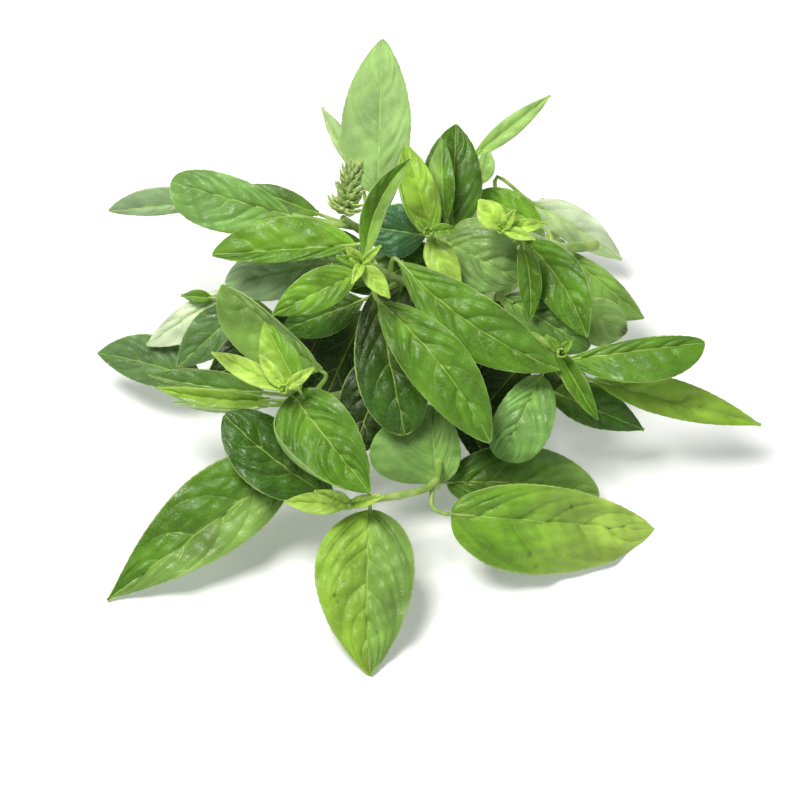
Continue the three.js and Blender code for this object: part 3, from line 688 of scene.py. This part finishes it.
def join_pieces(pieces, name):
    deselect_all()
    for piece in pieces:
        piece.select_set(True)
    bpy.context.view_layer.objects.active = pieces[0]
    bpy.ops.object.join()
    joined = bpy.context.object
    joined.name = name
    joined.data.name = name
    places = np.empty(len(joined.data.vertices) * 3)
    joined.data.vertices.foreach_get("co", places)
    places[2::3] = np.maximum(places[2::3], 0)
    joined.data.vertices.foreach_set("co", places)
    return joined


def finish_piece(piece, node):
    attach(piece, "root")
    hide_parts(node)


courses = {}
for index, row in enumerate(STEMS):
    name = row[0]
    course = courses[name] = stem_course(row, index)
    own = [leaf for leaf in leaves if leaf.stem == name]
    roots = [stalk_root(course, leaf) for leaf in own]
    shares = np.linspace(0, 1, 81)
    line = course.at(shares)
    near = np.min([np.linalg.norm(line - root, axis=1) for root in roots], axis=0)
    swelling = 1 + STEM_SWELLING * np.exp(-((near / SWELLING_REACH) ** 2))
    radii = (STEM_FOOT + (STEM_NECK - STEM_FOOT) * shares) * swelling
    pieces = [make_tube(line, radii, name + "_stem", stem_green)]
    cut = line[0] + np.outer((-0.25, 0.6), unit(line[1] - line[0]))
    pieces.append(make_tube(cut, (0.9 * STEM_FOOT, 0.9 * STEM_FOOT), name + "_cut", cut_flesh))
    for number, (leaf, root) in enumerate(zip(own, roots)):
        pieces.append(make_blade(leaf, f"{name}_leaf_{number}"))
        ahead = unit(leaf.tip - leaf.base)
        reach = min(STALK_REACH, 0.3 * np.linalg.norm(root - leaf.base))
        into = leaf.form(np.array([0.1]), np.array([0.0]))[0]
        way = [root, leaf.base - ahead * reach, leaf.base, into]
        if leaf.stalk_bow:
            way.insert(1, np.array((*leaf.stalk_bow, (root[2] + leaf.base[2]) / 2)))
        shares = np.linspace(0, 1, 21)
        radii = STALK_RADIUS * (1 - 0.5 * shares)
        pieces.append(make_tube(Course(way).at(shares), radii, f"{name}_stalk_{number}", stem_green))
    finish_piece(join_pieces(pieces, name + "_leafy_stem"), name + "_sprig")
    tips = [leaf for leaf in young if leaf.stem == name]
    if tips:
        heading = course.heading()
        bud = course.at(1.0)[0] + heading * (BUD_RADIUS + BUD_GAP)
        pieces = []
        for number, leaf in enumerate(tips):
            leaf.base = bud.copy()
            pieces.append(make_blade(leaf, f"{name}_young_{number}", YOUNG_CELLS_PER_MM))
        for number in range(BUD_LEAVES):
            turn = 2 * math.pi * number / BUD_LEAVES + index
            across = unit(np.cross(heading, (1, 0, 0)))
            outward = across * math.cos(turn) + np.cross(heading, across) * math.sin(turn)
            base = bud - heading * BUD_RADIUS
            tip = bud + unit(heading + 0.7 * outward) * BUD_RADIUS * 1.1
            scale = Leaf((name, *base[:2], *tip[:2], 1.5, 1.5, base[2], tip[2] - base[2],
                          -0.7, 30, 0, 0.45, 0, 1.3, "lime", 0.1), number)
            scale.up = heading
            pieces.append(make_blade(scale, f"{name}_bud_{number}", YOUNG_CELLS_PER_MM))
        finish_piece(join_pieces(pieces, name + "_tip_leaves"), name + "_shoot")

# Flower spike: tiers of cupped pointed bracts with a round bud in each, on a short core
axis = np.array(SPIKE_AXIS, float)
foot = courses["flowering"].at(1.0)[0] + 0.09 * axis
spike_side = unit(np.cross(axis, OUT))
spike_front = unit(np.cross(spike_side, axis))
draw = np.random.default_rng(SPIKE_DRAWS)
shares = np.linspace(0, 1, 9)
bracts = [make_tube(foot + axis * shares[:, None], 1.5 - 0.8 * shares, "spike_core", bract_green)]
for tier in range(SPIKE_TIERS):
    for k in range(SPIKE_BRACTS):
        share = (tier + 0.3 + 0.3 * draw.random()) / SPIKE_TIERS
        angle = 2 * math.pi * (k + 0.5 * (tier % 2) + 0.3 * draw.random()) / SPIKE_BRACTS
        outward = spike_side * math.cos(angle) + spike_front * math.sin(angle)
        base = foot + axis * share
        length = BRACT_LENGTH * (1 - 0.35 * share) * (0.8 + 0.35 * draw.random())
        rise = 0.1 + 0.9 * share + 0.6 * draw.random()
        tip = base + unit(outward + unit(axis) * rise) * length
        wide = BRACT_WIDTH * (1 - 0.3 * share)
        bract = Leaf(("flowering", *base[:2], *tip[:2], wide, wide, base[2], tip[2] - base[2],
                      -0.9, 34, 0, 0.4, 0, 1.6, "bract", 0.1), tier * SPIKE_BRACTS + k)
        bract.up = unit(axis)
        bracts.append(make_blade(bract, f"bract_{tier}_{k}", BRACT_CELLS_PER_MM))
        deselect_all()
        seat = to_world([base + outward * 2.4 * (1 - 0.4 * share) + unit(axis) * 1.2])[0]
        bpy.ops.mesh.primitive_uv_sphere_add(segments=10, ring_count=6, radius=SPIKE_BUD / 1000, location=seat)
        bpy.ops.object.transform_apply(location=True, rotation=True, scale=True)
        bpy.ops.object.shade_smooth()
        bpy.context.object.data.materials.append(bract_green)
        bracts.append(bpy.context.object)
finish_piece(join_pieces(bracts, "flower_spike_bracts"), "flower_spike")

# Floor, light and camera
deselect_all()
bpy.ops.mesh.primitive_plane_add(size=6)
floor = bpy.context.object
floor.name = "floor"
floor_material, floor_tree, floor_surface = new_material("floor_white")
floor_surface.inputs["Base Color"].default_value = (0.93, 0.93, 0.93, 1)
floor_surface.inputs["Roughness"].default_value = 0.9
floor_surface.inputs["Emission Color"].default_value = (1, 1, 1, 1)
floor_surface.inputs["Emission Strength"].default_value = 0.16
floor.data.materials.append(floor_material)


def area_light(name, place, size, power, colour=(1, 1, 1)):
    deselect_all()
    bpy.ops.object.light_add(type="AREA", location=place)
    lamp = bpy.context.object
    lamp.name = name
    lamp.data.size = size
    lamp.data.energy = power
    lamp.data.color = colour
    towards = np.array((0, 0, 0.05)) - np.array(place)
    tip_over = math.atan2(math.hypot(towards[0], towards[1]), -towards[2])
    lamp.rotation_euler = (tip_over, 0, math.atan2(-towards[0], towards[1]))
    return lamp


area_light("soft_key", (-0.45, -0.15, 1.4), 0.55, 21, (1.0, 0.985, 0.95))
area_light("soft_fill", (0.9, -0.7, 0.8), 0.7, 2.5, (0.95, 0.98, 1.0))
area_light("soft_back", (0.3, 1.0, 0.8), 0.7, 4)
world = bpy.data.worlds.new("studio")
world.use_nodes = True
world.node_tree.nodes["Background"].inputs["Color"].default_value = (0.95, 0.98, 1.0, 1)
world.node_tree.nodes["Background"].inputs["Strength"].default_value = 0.17
bpy.context.scene.world = world
bpy.context.scene.view_settings.view_transform = "Standard"

target = np.array((FACE_PLACE[0], FACE_PLACE[1], FACE_HEIGHT)) / 1000
tilt = math.radians(90 - FACE_LEAN)
deselect_all()
bpy.ops.object.camera_add(
    location=target + VIEW_DISTANCE * np.array((0, -math.cos(tilt), math.sin(tilt))),
    rotation=(math.pi / 2 - tilt, 0, 0),
)
camera = bpy.context.object
camera.name = "view"
camera.data.sensor_width = SENSOR_WIDTH
camera.data.lens = SENSOR_WIDTH * VIEW_DISTANCE / VIEW_WIDTH
camera.data.clip_end = 20
bpy.context.scene.camera = camera
